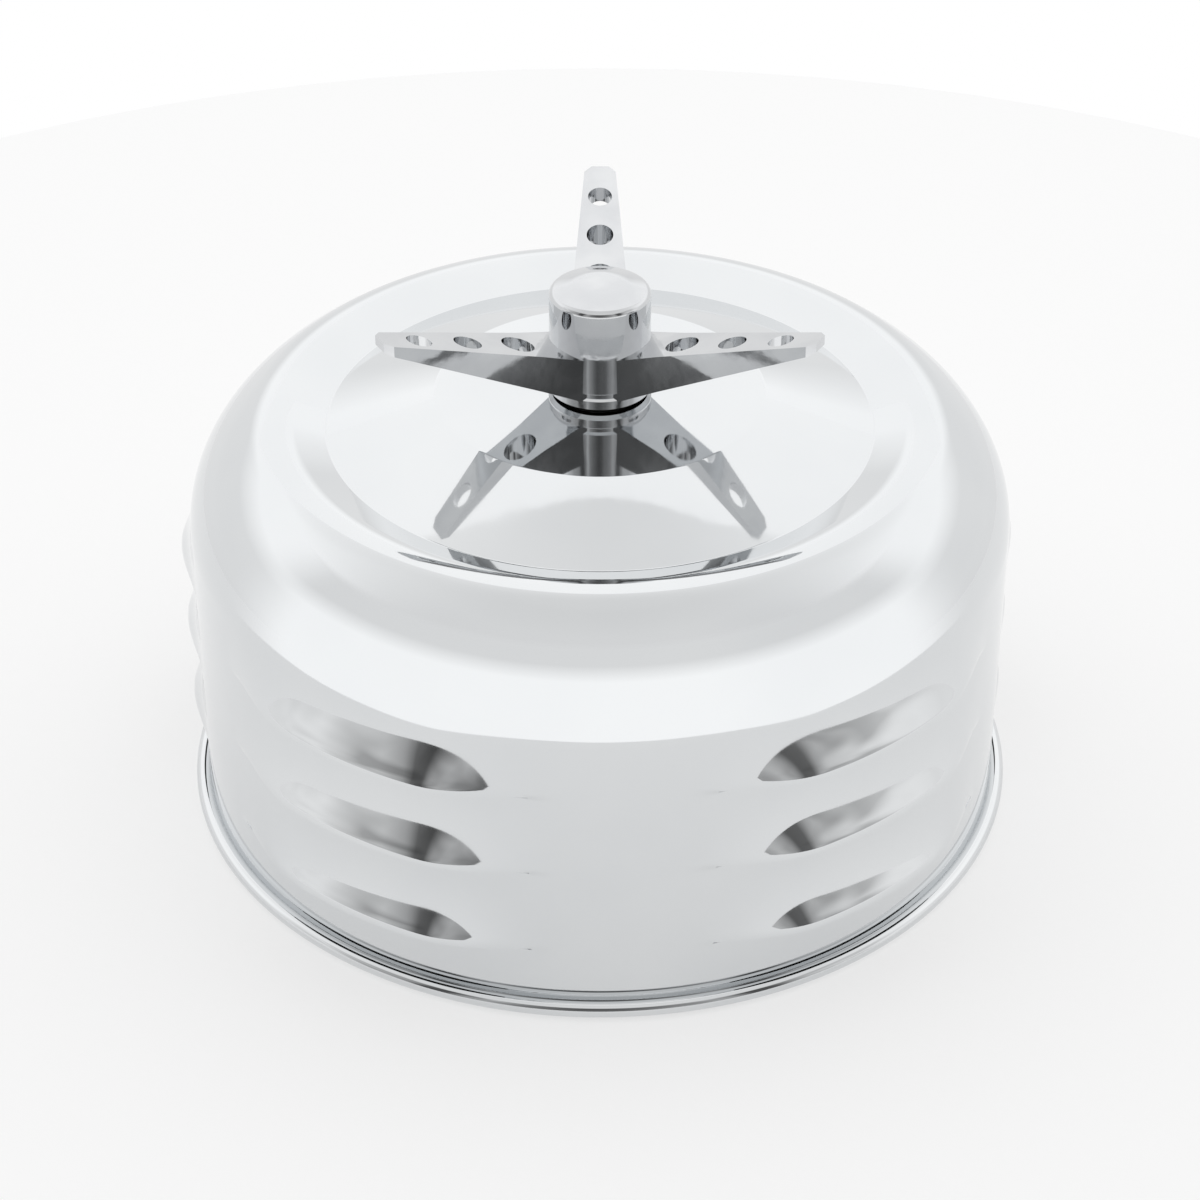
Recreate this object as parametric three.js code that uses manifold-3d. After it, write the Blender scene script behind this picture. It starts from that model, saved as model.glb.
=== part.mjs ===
// A louvered air cleaner for a single-barrel carburettor, held down by a three-armed spinner nut.
// Millimetres, +Z up. The origin is on the axis, in the plane that the base plate stands on.
// An azimuth is counted from -Y towards +X, in degrees.
import * as THREE from 'three';
import { mergeVertices } from 'three/addons/utils/BufferGeometryUtils.js';
import Module from 'manifold-3d';

const wasm = await Module();
wasm.setup();

// Clearance that separate pieces keep where they bear on each other.
const GAP = 0.3;

// Louvered cover: one drawn shell with a dished top and a rolled bottom edge.
const COVER_SHEET = 0.9;
const WALL_R = 79.5;
const SHOULDER_REACH = 38;
const SHOULDER_RISE = 28.5;
const SHOULDER_Z = 60.7;
const CROWN_R = 6;
const CROWN_START = 104;
const CROWN_END = 56;
const VALLEY_R = 52.5;
const VALLEY_Z = 80.2;
const PLATEAU_R = 31.5;
const PLATEAU_Z = 86.9;
const STUD_HOLE_R = 3.6;
const BEAD_R = 1.65;
const BEAD_CENTRE_R = 80.75;
const COVER_SEGMENTS = 50;

// Louvers: groups round the wall, each a column of lips that open downwards.
const LOUVER_GROUPS = 5;
const FIRST_GROUP = 39;
const LIP_HEIGHTS = [14.8, 32.7, 49.8];
const LOUVER_RISE = 4.2;
const LOUVER_HEIGHT = 14;
const LOUVER_FLAT = 9;
const LOUVER_END = 28;
const LIP_STEP = 0.6;
const SLOT_COLUMNS = 2;
const SLOT_MARGIN = 0.4;

// Base plate: a pan whose middle is raised over the clamp.
const BASE_SHEET = 0.9;
const BASE_RIM_R = 78.2;
const BASE_RIM_TOP = 7.5;
const BASE_FOOT_R = 64.5;
const BASE_FLOOR_R = 60;
const BASE_FLOOR_Z = 17.2;
const BASE_STEP_R = 42.2;
const BASE_STEP = 1;
const BASE_HOLE_R = 35;
const ROUND_SEGMENTS = 48;

// Neck: the collar that goes over the carburettor's air horn, its seal and its clamp.
const NECK_R = 33.5;
const NECK_WALL = 1.2;
const NECK_BOTTOM = 1.2;
const NECK_LIP_R = 30.5;
const NECK_FLANGE_R = 40.8;
const NECK_SLOTS = 6;
const NECK_SLOT_WIDTH = 2;
const NECK_SLOT_TOP = 11;
const SEAL_HEIGHT = 1.5;
const BAND_WALL = 1.1;
const BAND_BOTTOM = 1.6;
const BAND_HEIGHT = 8.8;
const EAR_GAP = 6;
const EAR_WALL = 1.4;
const EAR_REACH = 48;
const SCREW_X = 42.5;
const SCREW_Z = 6;
const SCREW_R = 2.35;
const SCREW_LENGTH = 17.7;
const SCREW_HEX_R = 4.6;
const SCREW_HEAD = 3.2;

// Stud bridge, its rivets, the stud and its nuts.
const BRIDGE_REACH = 40.5;
const BRIDGE_WIDTH = 14;
const BRIDGE_THICKNESS = 1.6;
const RIVET_X = 38;
const RIVET_R = 1.5;
const RIVET_HEAD_R = 2.5;
const RIVET_HEAD = 1.2;
const STUD_R = 3.1;
const STUD_BOTTOM = 13.5;
const STUD_TOP = 102.5;
const STUD_CHAMFER = 0.6;
const NUT_HEX_R = 6.4;
const NUT_HEIGHT = 4;
const LOCK_WASHER_R = 5.8;
const LOCK_WASHER_HEIGHT = 1.3;

// Filter: a pleated ring between two moulded seals, with a screen on each side.
const FILTER_INNER_R = 42.9;
const FILTER_OUTER_R = 58.5;
const FILTER_SEAL = 4;
const SCREEN_WALL = 0.6;
const PLEATS = 48;
const PLEAT_DEPTH = 10.8;
const PLEAT_FOLD = 2.6;

// Spinner nut: a hub with a domed top and three swept-up, tapered, drilled arms.
const HUB_R = 9.8;
const HUB_TOP_R = 9.6;
const HUB_LIFT = 0.5;
const HUB_HEIGHT = 21.4;
const DOME = 1.5;
const HUB_SEGMENTS = 36;
const ARMS = 3;
const ARM_REACH = 46;
const ARM_ROOT = 5;
const ARM_LOW_AT_HUB = 3.8;
const ARM_TOP_AT_HUB = 12.3;
const ARM_LOW_AT_TIP = 22.1;
const ARM_TOP_AT_TIP = 24;
const ARM_TIP_WIDTH = 6.2;
const ARM_MID_R = 15;
const ARM_MID_WIDTH = 10.5;
const ARM_ROOT_WIDTH = 15;
const ARM_HOLES = [[17.6, 3.1], [28.1, 2.6], [38, 2.35]];
const WASHER_R = 7.9;
const WASHER_HEIGHT = 1.2;
const INSERT_R = 5.2;
const INSERT_BORE_R = 3.4;

const chrome = [0xdadcdd, 1, 0.06];
const zinc = [0xb4b6b4, 1, 0.35];
const blackRubber = [0x151515, 0, 0.7];
const brass = [0xb8954e, 1, 0.3];
const filterPaper = [0xd8c9a0, 0, 0.9];
const moulding = [0x2b2b2d, 0, 0.65];
const wireCloth = [0xa9abad, 1, 0.4];

// Drops empty triangles, merges shared vertices and turns the faces outwards.
function closed(geometry) {
  const bare = new THREE.BufferGeometry();
  bare.setAttribute('position', geometry.getAttribute('position'));
  if (geometry.index) bare.setIndex(geometry.index);
  const merged = mergeVertices(bare);
  const corners = merged.index.array;
  const kept = [];
  for (let i = 0; i < corners.length; i += 3) {
    const [a, b, c] = [corners[i], corners[i + 1], corners[i + 2]];
    if (a !== b && b !== c && c !== a) kept.push(a, b, c);
  }
  if (signedVolume(merged.getAttribute('position'), kept) < 0) kept.reverse();
  merged.setIndex(kept);
  return merged;
}

function signedVolume(position, corners) {
  const [a, b, c] = [new THREE.Vector3(), new THREE.Vector3(), new THREE.Vector3()];
  let sum = 0;
  for (let i = 0; i < corners.length; i += 3) {
    a.fromBufferAttribute(position, corners[i]);
    b.fromBufferAttribute(position, corners[i + 1]);
    c.fromBufferAttribute(position, corners[i + 2]);
    sum += a.dot(b.cross(c));
  }
  return sum;
}

function solid(geometry) {
  const body = closed(geometry);
  return new wasm.Manifold(new wasm.Mesh({
    numProp: 3,
    vertProperties: new Float32Array(body.getAttribute('position').array),
    triVerts: new Uint32Array(body.index.array),
  }));
}

function geometryOf(manifold) {
  const mesh = manifold.getMesh();
  const geometry = new THREE.BufferGeometry();
  geometry.setAttribute('position', new THREE.BufferAttribute(mesh.vertProperties, 3));
  geometry.setIndex(new THREE.BufferAttribute(mesh.triVerts, 1));
  return geometry;
}

// A profile of [radius, height] points turned about Z.
// It closes on itself unless both ends are on the axis.
function turned(profile, segments = ROUND_SEGMENTS) {
  const points = profile.map(([r, z]) => new THREE.Vector2(r, z));
  const open = profile[0][0] === 0 && profile[profile.length - 1][0] === 0;
  if (!open) points.push(points[0].clone());
  return new THREE.LatheGeometry(points, segments).rotateX(Math.PI / 2);
}

function ring(inner, outer, low, high, segments) {
  return turned([[inner, low], [outer, low], [outer, high], [inner, high]], segments);
}

function upright(shape, low, high, curveSegments = 12) {
  const settings = { depth: high - low, bevelEnabled: false, curveSegments };
  return new THREE.ExtrudeGeometry(shape, settings).translate(0, 0, low);
}

function rod(radius, low, high, segments = 16) {
  const height = high - low;
  return new THREE.CylinderGeometry(radius, radius, height, segments)
    .rotateX(Math.PI / 2)
    .translate(0, 0, low + height / 2);
}

// [radius, height] points on an arc. Angles run from the radial direction, upwards, in degrees.
function arc(centreR, centreZ, radius, from, to, steps) {
  const points = [];
  for (let i = 0; i <= steps; i += 1) {
    const angle = THREE.MathUtils.degToRad(from + (to - from) * i / steps);
    points.push([centreR + radius * Math.cos(angle), centreZ + radius * Math.sin(angle)]);
  }
  return points;
}

// The points of a profile moved sideways, to the right of its direction of travel.
function offset(profile, distance) {
  return profile.map(([r, z], i) => {
    const [r0, z0] = profile[Math.max(i - 1, 0)];
    const [r1, z1] = profile[Math.min(i + 1, profile.length - 1)];
    const length = Math.hypot(r1 - r0, z1 - z0);
    return [r + distance * (z1 - z0) / length, z - distance * (r1 - r0) / length];
  });
}

// Points on the shoulder, a quarter ellipse, between two of its parametric angles in degrees.
function shoulderArc(from, to, steps) {
  return arc(0, 0, 1, from, to, steps).map(([along, up]) => [
    WALL_R - SHOULDER_REACH * (1 - along),
    SHOULDER_Z + SHOULDER_RISE * up,
  ]);
}

// The outer face of the dished top, from the stud hole to where the louvers begin.
function topProfile() {
  const turn = THREE.MathUtils.degToRad(CROWN_END);
  const start = Math.atan(Math.tan(turn) * SHOULDER_RISE / SHOULDER_REACH);
  const louversBegin = Math.max(...LIP_HEIGHTS) + LOUVER_HEIGHT + LIP_STEP;
  const end = Math.asin((louversBegin - SHOULDER_Z) / SHOULDER_RISE);
  const shoulder = shoulderArc(THREE.MathUtils.radToDeg(start), THREE.MathUtils.radToDeg(end), 5);
  const [r, z] = shoulder[0];
  const crownR = r - CROWN_R * Math.cos(turn);
  const crownZ = z - CROWN_R * Math.sin(turn);
  return [
    [STUD_HOLE_R, PLATEAU_Z],
    [PLATEAU_R, PLATEAU_Z],
    [VALLEY_R, VALLEY_Z],
    ...arc(crownR, crownZ, CROWN_R, CROWN_START, CROWN_END, 3).slice(0, -1),
    ...shoulder,
  ];
}

// The wall's outer radius at a height, without its louvers.
function wallRadius(z) {
  const above = Math.max(z - SHOULDER_Z, 0) / SHOULDER_RISE;
  return WALL_R - SHOULDER_REACH * (1 - Math.sqrt(1 - above ** 2));
}

// The heights that a louvered wall bends at, from the top down.
function wallHeights() {
  const heights = [];
  for (const lip of [...LIP_HEIGHTS].reverse()) {
    for (const share of [1, 0.65, 0.35, 0]) heights.push(lip + share * LOUVER_HEIGHT);
    heights.push(lip - LIP_STEP);
  }
  return heights;
}

// How far the wall stands out at an azimuth and a height.
function louverRise(azimuth, z) {
  const pitch = 360 / LOUVER_GROUPS;
  const away = Math.abs(azimuth - FIRST_GROUP - pitch * Math.round((azimuth - FIRST_GROUP) / pitch));
  const across = (LOUVER_END - away) / (LOUVER_END - LOUVER_FLAT);
  const lip = LIP_HEIGHTS.find((height) => z > height - LIP_STEP / 2 && z < height + LOUVER_HEIGHT);
  if (lip === undefined) return 0;
  const down = THREE.MathUtils.clamp(1 - (z - lip) / LOUVER_HEIGHT, 0, 1);
  return LOUVER_RISE * smooth(across) * down ** 2;
}

function smooth(share) {
  return (1 - Math.cos(Math.PI * THREE.MathUtils.clamp(share, 0, 1))) / 2;
}

// Moves the wall's points outwards. The inner face follows the outer one from a little higher up.
function raiseLouvers(geometry) {
  const position = geometry.getAttribute('position');
  for (let i = 0; i < position.count; i += 1) {
    const [x, y, z] = [position.getX(i), position.getY(i), position.getZ(i)];
    const r = Math.hypot(x, y);
    if (r < WALL_R - 2 * COVER_SHEET) continue;
    const azimuth = THREE.MathUtils.radToDeg(Math.atan2(x, -y));
    const inside = r < wallRadius(z) - COVER_SHEET / 2;
    const scale = 1 + louverRise(azimuth, inside ? z - LIP_STEP : z) / r;
    position.setXY(i, x * scale, y * scale);
  }
  return geometry;
}

// A point in plan at a radius and an azimuth.
function around(radius, azimuth) {
  const turn = THREE.MathUtils.degToRad(azimuth);
  return new THREE.Vector2(radius * Math.sin(turn), -radius * Math.cos(turn));
}

// The air slot under a lip, which follows the louver from one column of the wall to the next.
function louverSlot(azimuth, lip) {
  const outer = [];
  const inner = [];
  for (let column = -SLOT_COLUMNS; column <= SLOT_COLUMNS; column += 1) {
    const place = azimuth + column * 360 / COVER_SEGMENTS;
    outer.push(around(WALL_R + louverRise(place, lip) - COVER_SHEET - SLOT_MARGIN, place));
    inner.unshift(around(WALL_R + SLOT_MARGIN, place));
  }
  return upright(new THREE.Shape([...outer, ...inner]), lip - 2 * LIP_STEP, lip + 2 * LIP_STEP);
}

function louveredCover() {
  const top = topProfile();
  const wall = wallHeights().map((z) => [wallRadius(z), z]);
  const innerWall = wallHeights().map((z) => [wallRadius(z + LIP_STEP) - COVER_SHEET, z + LIP_STEP]);
  const innerTop = offset(top, COVER_SHEET).slice(0, -1);
  const beadZ = GAP + BEAD_R;
  const groove = THREE.MathUtils.radToDeg(Math.acos((WALL_R - BEAD_CENTRE_R) / BEAD_R));
  const bead = arc(BEAD_CENTRE_R, beadZ, BEAD_R, groove, -120, 6);
  const shell = turned([
    ...top,
    ...wall,
    ...bead,
    [WALL_R - COVER_SHEET, beadZ],
    ...innerWall.reverse(),
    ...innerTop.reverse(),
  ], COVER_SEGMENTS).rotateZ(THREE.MathUtils.degToRad(FIRST_GROUP));
  let cover = solid(raiseLouvers(shell));
  for (let group = 0; group < LOUVER_GROUPS; group += 1) {
    const azimuth = FIRST_GROUP + group * 360 / LOUVER_GROUPS;
    for (const lip of LIP_HEIGHTS) cover = cover.subtract(solid(louverSlot(azimuth, lip)));
  }
  return geometryOf(cover);
}

function basePlate() {
  const under = [
    [BASE_HOLE_R, BASE_FLOOR_Z + BASE_STEP],
    [BASE_STEP_R - BASE_STEP, BASE_FLOOR_Z + BASE_STEP],
    [BASE_STEP_R, BASE_FLOOR_Z],
    [BASE_FLOOR_R, BASE_FLOOR_Z],
    [BASE_FOOT_R, 0],
    ...arc(BASE_RIM_R - 2, 2, 2, -90, 0, 3),
    [BASE_RIM_R, BASE_RIM_TOP],
  ];
  const upper = offset(under, -BASE_SHEET).reverse();
  let plate = solid(turned([...under, ...upper], ROUND_SEGMENTS));
  for (const x of [-RIVET_X, RIVET_X]) plate = plate.subtract(rivetHole(x));
  return geometryOf(plate);
}

function rivetHole(x) {
  return solid(rod(RIVET_R + GAP, 0, 40).translate(x, 0, 0));
}

const baseTop = BASE_FLOOR_Z + BASE_STEP + BASE_SHEET;
const flangeLow = baseTop + GAP;
const flangeHigh = flangeLow + NECK_WALL;

function neckCollar() {
  const outer = NECK_R + NECK_WALL;
  let collar = solid(turned([
    [NECK_R, NECK_BOTTOM],
    [outer, NECK_BOTTOM],
    [outer, flangeLow],
    [NECK_FLANGE_R, flangeLow],
    [NECK_FLANGE_R, flangeHigh],
    [NECK_LIP_R, flangeHigh],
    [NECK_LIP_R, flangeLow],
    [NECK_R, flangeLow],
  ]));
  const slotHeight = NECK_SLOT_TOP - NECK_BOTTOM + 2;
  for (let i = 0; i < NECK_SLOTS; i += 1) {
    const slot = new THREE.BoxGeometry(4 * NECK_WALL, NECK_SLOT_WIDTH, slotHeight)
      .translate(NECK_R, 0, NECK_SLOT_TOP - slotHeight / 2)
      .rotateZ((i + 0.5) * 2 * Math.PI / NECK_SLOTS);
    collar = collar.subtract(solid(slot));
  }
  for (const x of [-RIVET_X, RIVET_X]) collar = collar.subtract(rivetHole(x));
  return geometryOf(collar);
}

function neckSeal() {
  return ring(NECK_LIP_R + 0.4, NECK_R - GAP, flangeLow - GAP - SEAL_HEIGHT, flangeLow - GAP);
}

// A band round the neck whose two ends turn out into ears, either side of the +X axis.
function clampBand() {
  const inner = NECK_R + NECK_WALL + GAP;
  const outer = inner + BAND_WALL;
  const near = EAR_GAP / 2;
  const far = near + EAR_WALL;
  const gapAngle = Math.asin(near / inner);
  const earAngle = Math.asin(far / outer);
  const shape = new THREE.Shape();
  shape.moveTo(EAR_REACH, near);
  shape.lineTo(EAR_REACH, far);
  shape.absarc(0, 0, outer, earAngle, 2 * Math.PI - earAngle, false);
  shape.lineTo(EAR_REACH, -far);
  shape.lineTo(EAR_REACH, -near);
  shape.absarc(0, 0, inner, 2 * Math.PI - gapAngle, gapAngle, true);
  const band = solid(upright(shape, BAND_BOTTOM, BAND_BOTTOM + BAND_HEIGHT, 32));
  return geometryOf(band.subtract(solid(alongScrew(rod(SCREW_R + GAP, -EAR_GAP, EAR_GAP)))));
}

// Turns a piece drawn along Z into the line of the clamp screw, its +Z end towards +Y.
function alongScrew(geometry) {
  return geometry.rotateX(-Math.PI / 2).translate(SCREW_X, 0, SCREW_Z);
}

const earFace = EAR_GAP / 2 + EAR_WALL + GAP;

function clampScrew() {
  const head = rod(SCREW_HEX_R, -earFace - SCREW_HEAD, -earFace, 6);
  const shank = rod(SCREW_R, -earFace - SCREW_HEAD / 2, SCREW_LENGTH - earFace);
  return geometryOf(solid(alongScrew(head)).add(solid(alongScrew(shank))));
}

function clampNut() {
  return alongScrew(hexNut(SCREW_HEX_R, SCREW_R + GAP, earFace, earFace + SCREW_HEAD));
}

function hexNut(hexR, boreR, low, high) {
  const shape = new THREE.Shape();
  for (let i = 0; i < 6; i += 1) {
    const angle = i * Math.PI / 3;
    shape[i ? 'lineTo' : 'moveTo'](hexR * Math.cos(angle), hexR * Math.sin(angle));
  }
  shape.holes.push(new THREE.Path().absarc(0, 0, boreR, 0, 2 * Math.PI, true));
  return upright(shape, low, high, 16);
}

const bridgeLow = flangeHigh + GAP;
const bridgeHigh = bridgeLow + BRIDGE_THICKNESS;

function studBridge() {
  const half = BRIDGE_WIDTH / 2;
  const straight = BRIDGE_REACH - half;
  const shape = new THREE.Shape();
  shape.absarc(straight, 0, half, -Math.PI / 2, Math.PI / 2, false);
  shape.absarc(-straight, 0, half, Math.PI / 2, 3 * Math.PI / 2, false);
  for (const x of [-RIVET_X, RIVET_X]) {
    shape.holes.push(new THREE.Path().absarc(x, 0, RIVET_R + GAP, 0, 2 * Math.PI, true));
  }
  shape.holes.push(new THREE.Path().absarc(0, 0, STUD_R + GAP, 0, 2 * Math.PI, true));
  return upright(shape, bridgeLow, bridgeHigh, 12);
}

function bridgeRivet(x) {
  const low = BASE_FLOOR_Z + BASE_STEP - GAP;
  const high = bridgeHigh + GAP;
  return turned([
    [0, low - RIVET_HEAD],
    [RIVET_HEAD_R * 0.75, low - RIVET_HEAD],
    [RIVET_HEAD_R, low],
    [RIVET_R, low],
    [RIVET_R, high],
    [RIVET_HEAD_R, high],
    [RIVET_HEAD_R * 0.75, high + RIVET_HEAD * 0.7],
    [0, high + RIVET_HEAD],
  ], 16).translate(x, 0, 0);
}

function centerStud() {
  return turned([
    [0, STUD_BOTTOM],
    [STUD_R - STUD_CHAMFER, STUD_BOTTOM],
    [STUD_R, STUD_BOTTOM + STUD_CHAMFER],
    [STUD_R, STUD_TOP - STUD_CHAMFER],
    [STUD_R - STUD_CHAMFER, STUD_TOP],
    [0, STUD_TOP],
  ], 20);
}

// A spring washer, split along one radius.
function lockWasher() {
  const high = bridgeLow - GAP;
  const washer = solid(ring(STUD_R + GAP, LOCK_WASHER_R, high - LOCK_WASHER_HEIGHT, high, 32));
  const split = new THREE.BoxGeometry(LOCK_WASHER_R, 1, 2 * LOCK_WASHER_HEIGHT)
    .translate(LOCK_WASHER_R, 0, high - LOCK_WASHER_HEIGHT / 2);
  return geometryOf(washer.subtract(solid(split)));
}

function studNut(low) {
  return hexNut(NUT_HEX_R, STUD_R + GAP, low, low + NUT_HEIGHT);
}

const filterLow = BASE_FLOOR_Z + BASE_SHEET + GAP;
const filterHigh = VALLEY_Z - COVER_SHEET - 2 * GAP;
const mediaLow = filterLow + FILTER_SEAL + GAP;
const mediaHigh = filterHigh - FILTER_SEAL - GAP;

function filterSeal(low) {
  return ring(FILTER_INNER_R, FILTER_OUTER_R, low, low + FILTER_SEAL);
}

function filterScreen(inner) {
  return ring(inner, inner + SCREEN_WALL, mediaLow, mediaHigh);
}

// A paper ring folded back and forth. Both outlines are stars, one inside the other.
function filterPleats() {
  const tip = FILTER_OUTER_R - SCREEN_WALL - 2 * GAP;
  const shape = new THREE.Shape(star(tip, tip - PLEAT_DEPTH));
  const inner = tip - PLEAT_FOLD;
  shape.holes.push(new THREE.Path(star(inner, inner - PLEAT_DEPTH)));
  return upright(shape, mediaLow, mediaHigh);
}

function star(tip, root) {
  const points = [];
  for (let i = 0; i < 2 * PLEATS; i += 1) {
    const r = i % 2 ? root : tip;
    const angle = i * Math.PI / PLEATS;
    points.push(new THREE.Vector2(r * Math.cos(angle), r * Math.sin(angle)));
  }
  return points;
}

const hubBottom = PLATEAU_Z + HUB_LIFT;
const washerLow = PLATEAU_Z + GAP;
const washerHigh = washerLow + WASHER_HEIGHT;
const insertLow = washerHigh + 2 * GAP;
const insertHigh = STUD_TOP + 1.5;

// One arm, pointing along +X: its side view cut to its plan.
function spinnerArm() {
  const side = new THREE.Shape();
  const slopeLow = (ARM_LOW_AT_TIP - ARM_LOW_AT_HUB) / (ARM_REACH - HUB_R);
  const slopeTop = (ARM_TOP_AT_TIP - ARM_TOP_AT_HUB) / (ARM_REACH - HUB_R);
  const inwards = HUB_R - ARM_ROOT;
  side.moveTo(ARM_ROOT, ARM_LOW_AT_HUB - slopeLow * inwards);
  side.lineTo(ARM_REACH, ARM_LOW_AT_TIP);
  side.lineTo(ARM_REACH, ARM_TOP_AT_TIP);
  side.lineTo(ARM_ROOT, ARM_TOP_AT_HUB - slopeTop * inwards);
  const slab = upright(side, -ARM_ROOT_WIDTH, ARM_ROOT_WIDTH)
    .rotateX(Math.PI / 2)
    .translate(0, 0, PLATEAU_Z);
  const plan = new THREE.Shape();
  const corner = 1.4;
  plan.moveTo(0, -ARM_ROOT_WIDTH / 2);
  plan.lineTo(ARM_MID_R, -ARM_MID_WIDTH / 2);
  plan.lineTo(ARM_REACH - corner, -ARM_TIP_WIDTH / 2);
  plan.lineTo(ARM_REACH, -ARM_TIP_WIDTH / 2 + corner);
  plan.lineTo(ARM_REACH, ARM_TIP_WIDTH / 2 - corner);
  plan.lineTo(ARM_REACH - corner, ARM_TIP_WIDTH / 2);
  plan.lineTo(ARM_MID_R, ARM_MID_WIDTH / 2);
  plan.lineTo(0, ARM_ROOT_WIDTH / 2);
  for (const [x, radius] of ARM_HOLES) {
    plan.holes.push(new THREE.Path().absarc(x, 0, radius, 0, 2 * Math.PI, true));
  }
  const outline = upright(plan, PLATEAU_Z, PLATEAU_Z + 2 * HUB_HEIGHT, 16);
  return solid(slab).intersect(solid(outline));
}

function spinnerNut() {
  const top = PLATEAU_Z + HUB_HEIGHT;
  let nut = solid(turned([
    [0, hubBottom],
    [HUB_R - 0.4, hubBottom],
    [HUB_R, hubBottom + 0.4],
    [HUB_TOP_R, top - 1.2],
    [HUB_TOP_R - 0.5, top - 0.2],
    [HUB_TOP_R * 0.75, top + DOME * 0.45],
    [HUB_TOP_R * 0.4, top + DOME * 0.85],
    [0, top + DOME],
  ], HUB_SEGMENTS));
  const arm = spinnerArm();
  for (let i = 0; i < ARMS; i += 1) nut = nut.add(arm.rotate([0, 0, 90 + i * 360 / ARMS]));
  const recess = rod(WASHER_R + GAP, PLATEAU_Z, washerHigh + GAP, 32);
  const bore = rod(INSERT_R + GAP, PLATEAU_Z, insertHigh + GAP, 24);
  return geometryOf(nut.subtract(solid(recess)).subtract(solid(bore)));
}

function spinnerWasher() {
  return ring(STUD_HOLE_R, WASHER_R, washerLow, washerHigh, 32);
}

function threadedInsert() {
  return ring(INSERT_BORE_R, INSERT_R, insertLow, insertHigh, 24);
}

const object = new THREE.Group();

function place(name, geometry, [color, metalness, roughness]) {
  const material = new THREE.MeshStandardMaterial({ color, metalness, roughness });
  const mesh = new THREE.Mesh(closed(geometry), material);
  mesh.name = name;
  object.add(mesh);
}

place('louvered_cover', louveredCover(), chrome);
place('base_plate', basePlate(), chrome);
place('neck_collar', neckCollar(), zinc);
place('neck_seal', neckSeal(), blackRubber);
place('neck_clamp_band', clampBand(), zinc);
place('clamp_screw', clampScrew(), zinc);
place('clamp_nut', clampNut(), zinc);
place('stud_bridge', studBridge(), zinc);
place('bridge_rivet_left', bridgeRivet(-RIVET_X), zinc);
place('bridge_rivet_right', bridgeRivet(RIVET_X), zinc);
place('center_stud', centerStud(), zinc);
place('stud_lock_washer', lockWasher(), zinc);
place('stud_nut_lower', studNut(bridgeLow - LOCK_WASHER_HEIGHT - NUT_HEIGHT - 2 * GAP), zinc);
place('stud_nut_upper', studNut(bridgeHigh + GAP), zinc);
place('filter_pleats', filterPleats(), filterPaper);
place('filter_top_seal', filterSeal(filterHigh - FILTER_SEAL), moulding);
place('filter_bottom_seal', filterSeal(filterLow), moulding);
place('filter_outer_screen', filterScreen(FILTER_OUTER_R - SCREEN_WALL), wireCloth);
place('filter_inner_screen', filterScreen(FILTER_INNER_R), wireCloth);
place('spinner_washer', spinnerWasher(), blackRubber);
place('spinner_nut', spinnerNut(), chrome);
place('threaded_insert', threadedInsert(), brass);

export default object;
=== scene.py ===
"""The looks of a chrome louvered air cleaner with a three-arm spinner nut, built round its CAD model.

Sizes are in millimetres until mesh_object() turns them into metres. Z is up, and azimuth 0 faces -Y.
"""

import math

import bmesh
import bpy
from mathutils import Matrix, Vector

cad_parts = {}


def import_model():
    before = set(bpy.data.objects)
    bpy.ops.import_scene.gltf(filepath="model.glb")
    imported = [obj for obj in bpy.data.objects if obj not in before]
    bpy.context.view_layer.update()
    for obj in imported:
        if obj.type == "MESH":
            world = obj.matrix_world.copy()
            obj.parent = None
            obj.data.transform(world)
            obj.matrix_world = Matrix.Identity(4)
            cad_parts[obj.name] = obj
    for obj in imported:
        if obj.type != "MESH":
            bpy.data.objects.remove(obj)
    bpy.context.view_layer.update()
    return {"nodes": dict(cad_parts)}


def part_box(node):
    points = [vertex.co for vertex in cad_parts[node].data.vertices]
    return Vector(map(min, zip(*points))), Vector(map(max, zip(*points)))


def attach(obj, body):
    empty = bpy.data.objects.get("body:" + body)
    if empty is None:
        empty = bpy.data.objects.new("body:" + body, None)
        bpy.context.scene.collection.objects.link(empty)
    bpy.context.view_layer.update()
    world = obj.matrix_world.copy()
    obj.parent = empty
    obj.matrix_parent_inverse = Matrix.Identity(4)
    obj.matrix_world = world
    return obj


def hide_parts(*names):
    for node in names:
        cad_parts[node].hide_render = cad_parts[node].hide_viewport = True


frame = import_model()
nodes = frame["nodes"]

# ---------------------------------------------------------------- sizes

MM = 0.001
TURN = 2 * math.pi

SHEET = 0.9
WALL_R = 79.5
SHOULDER_REACH = 38
SHOULDER_RISE = 28.5
SHOULDER_Z = 60.7

# The crest between the shoulder and the valley is rounder than the CAD's, and up to 1 mm higher.
CROWN_R = 9
CROWN_START = 112
CROWN_END = 56
VALLEY_R = 52.5
VALLEY_Z = 80.2
VALLEY_FILLET = 0.6
PLATEAU_R = 31.5
PLATEAU_Z = 86.9
PLATEAU_FILLET = 1.5
STUD_HOLE_R = 3.6

BEAD_R = 1.65
BEAD_CENTRE_R = 80.75
BEAD_Z = 1.95

LOUVER_GROUPS = 5
FIRST_GROUP = 39

# The rise is 0.08 mm less than in the CAD, which keeps the finer mesh near the CAD's box.
LIP_HEIGHTS = (49.8, 32.7, 14.8)
LOUVER_RISE = 4.12
LOUVER_HEIGHT = 14
LOUVER_FLAT = 9
LOUVER_END = 28
LIP_STEP = 0.6
SLOT_RISE = 1.4

BASE_RIM_R = 78.2
BASE_RIM_TOP = 7.5
BASE_FOOT_R = 64.5
BASE_FLOOR_R = 60
BASE_FLOOR_Z = 17.2
BASE_STEP_R = 42.2
BASE_STEP = 1
BASE_HOLE_R = 35

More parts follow.
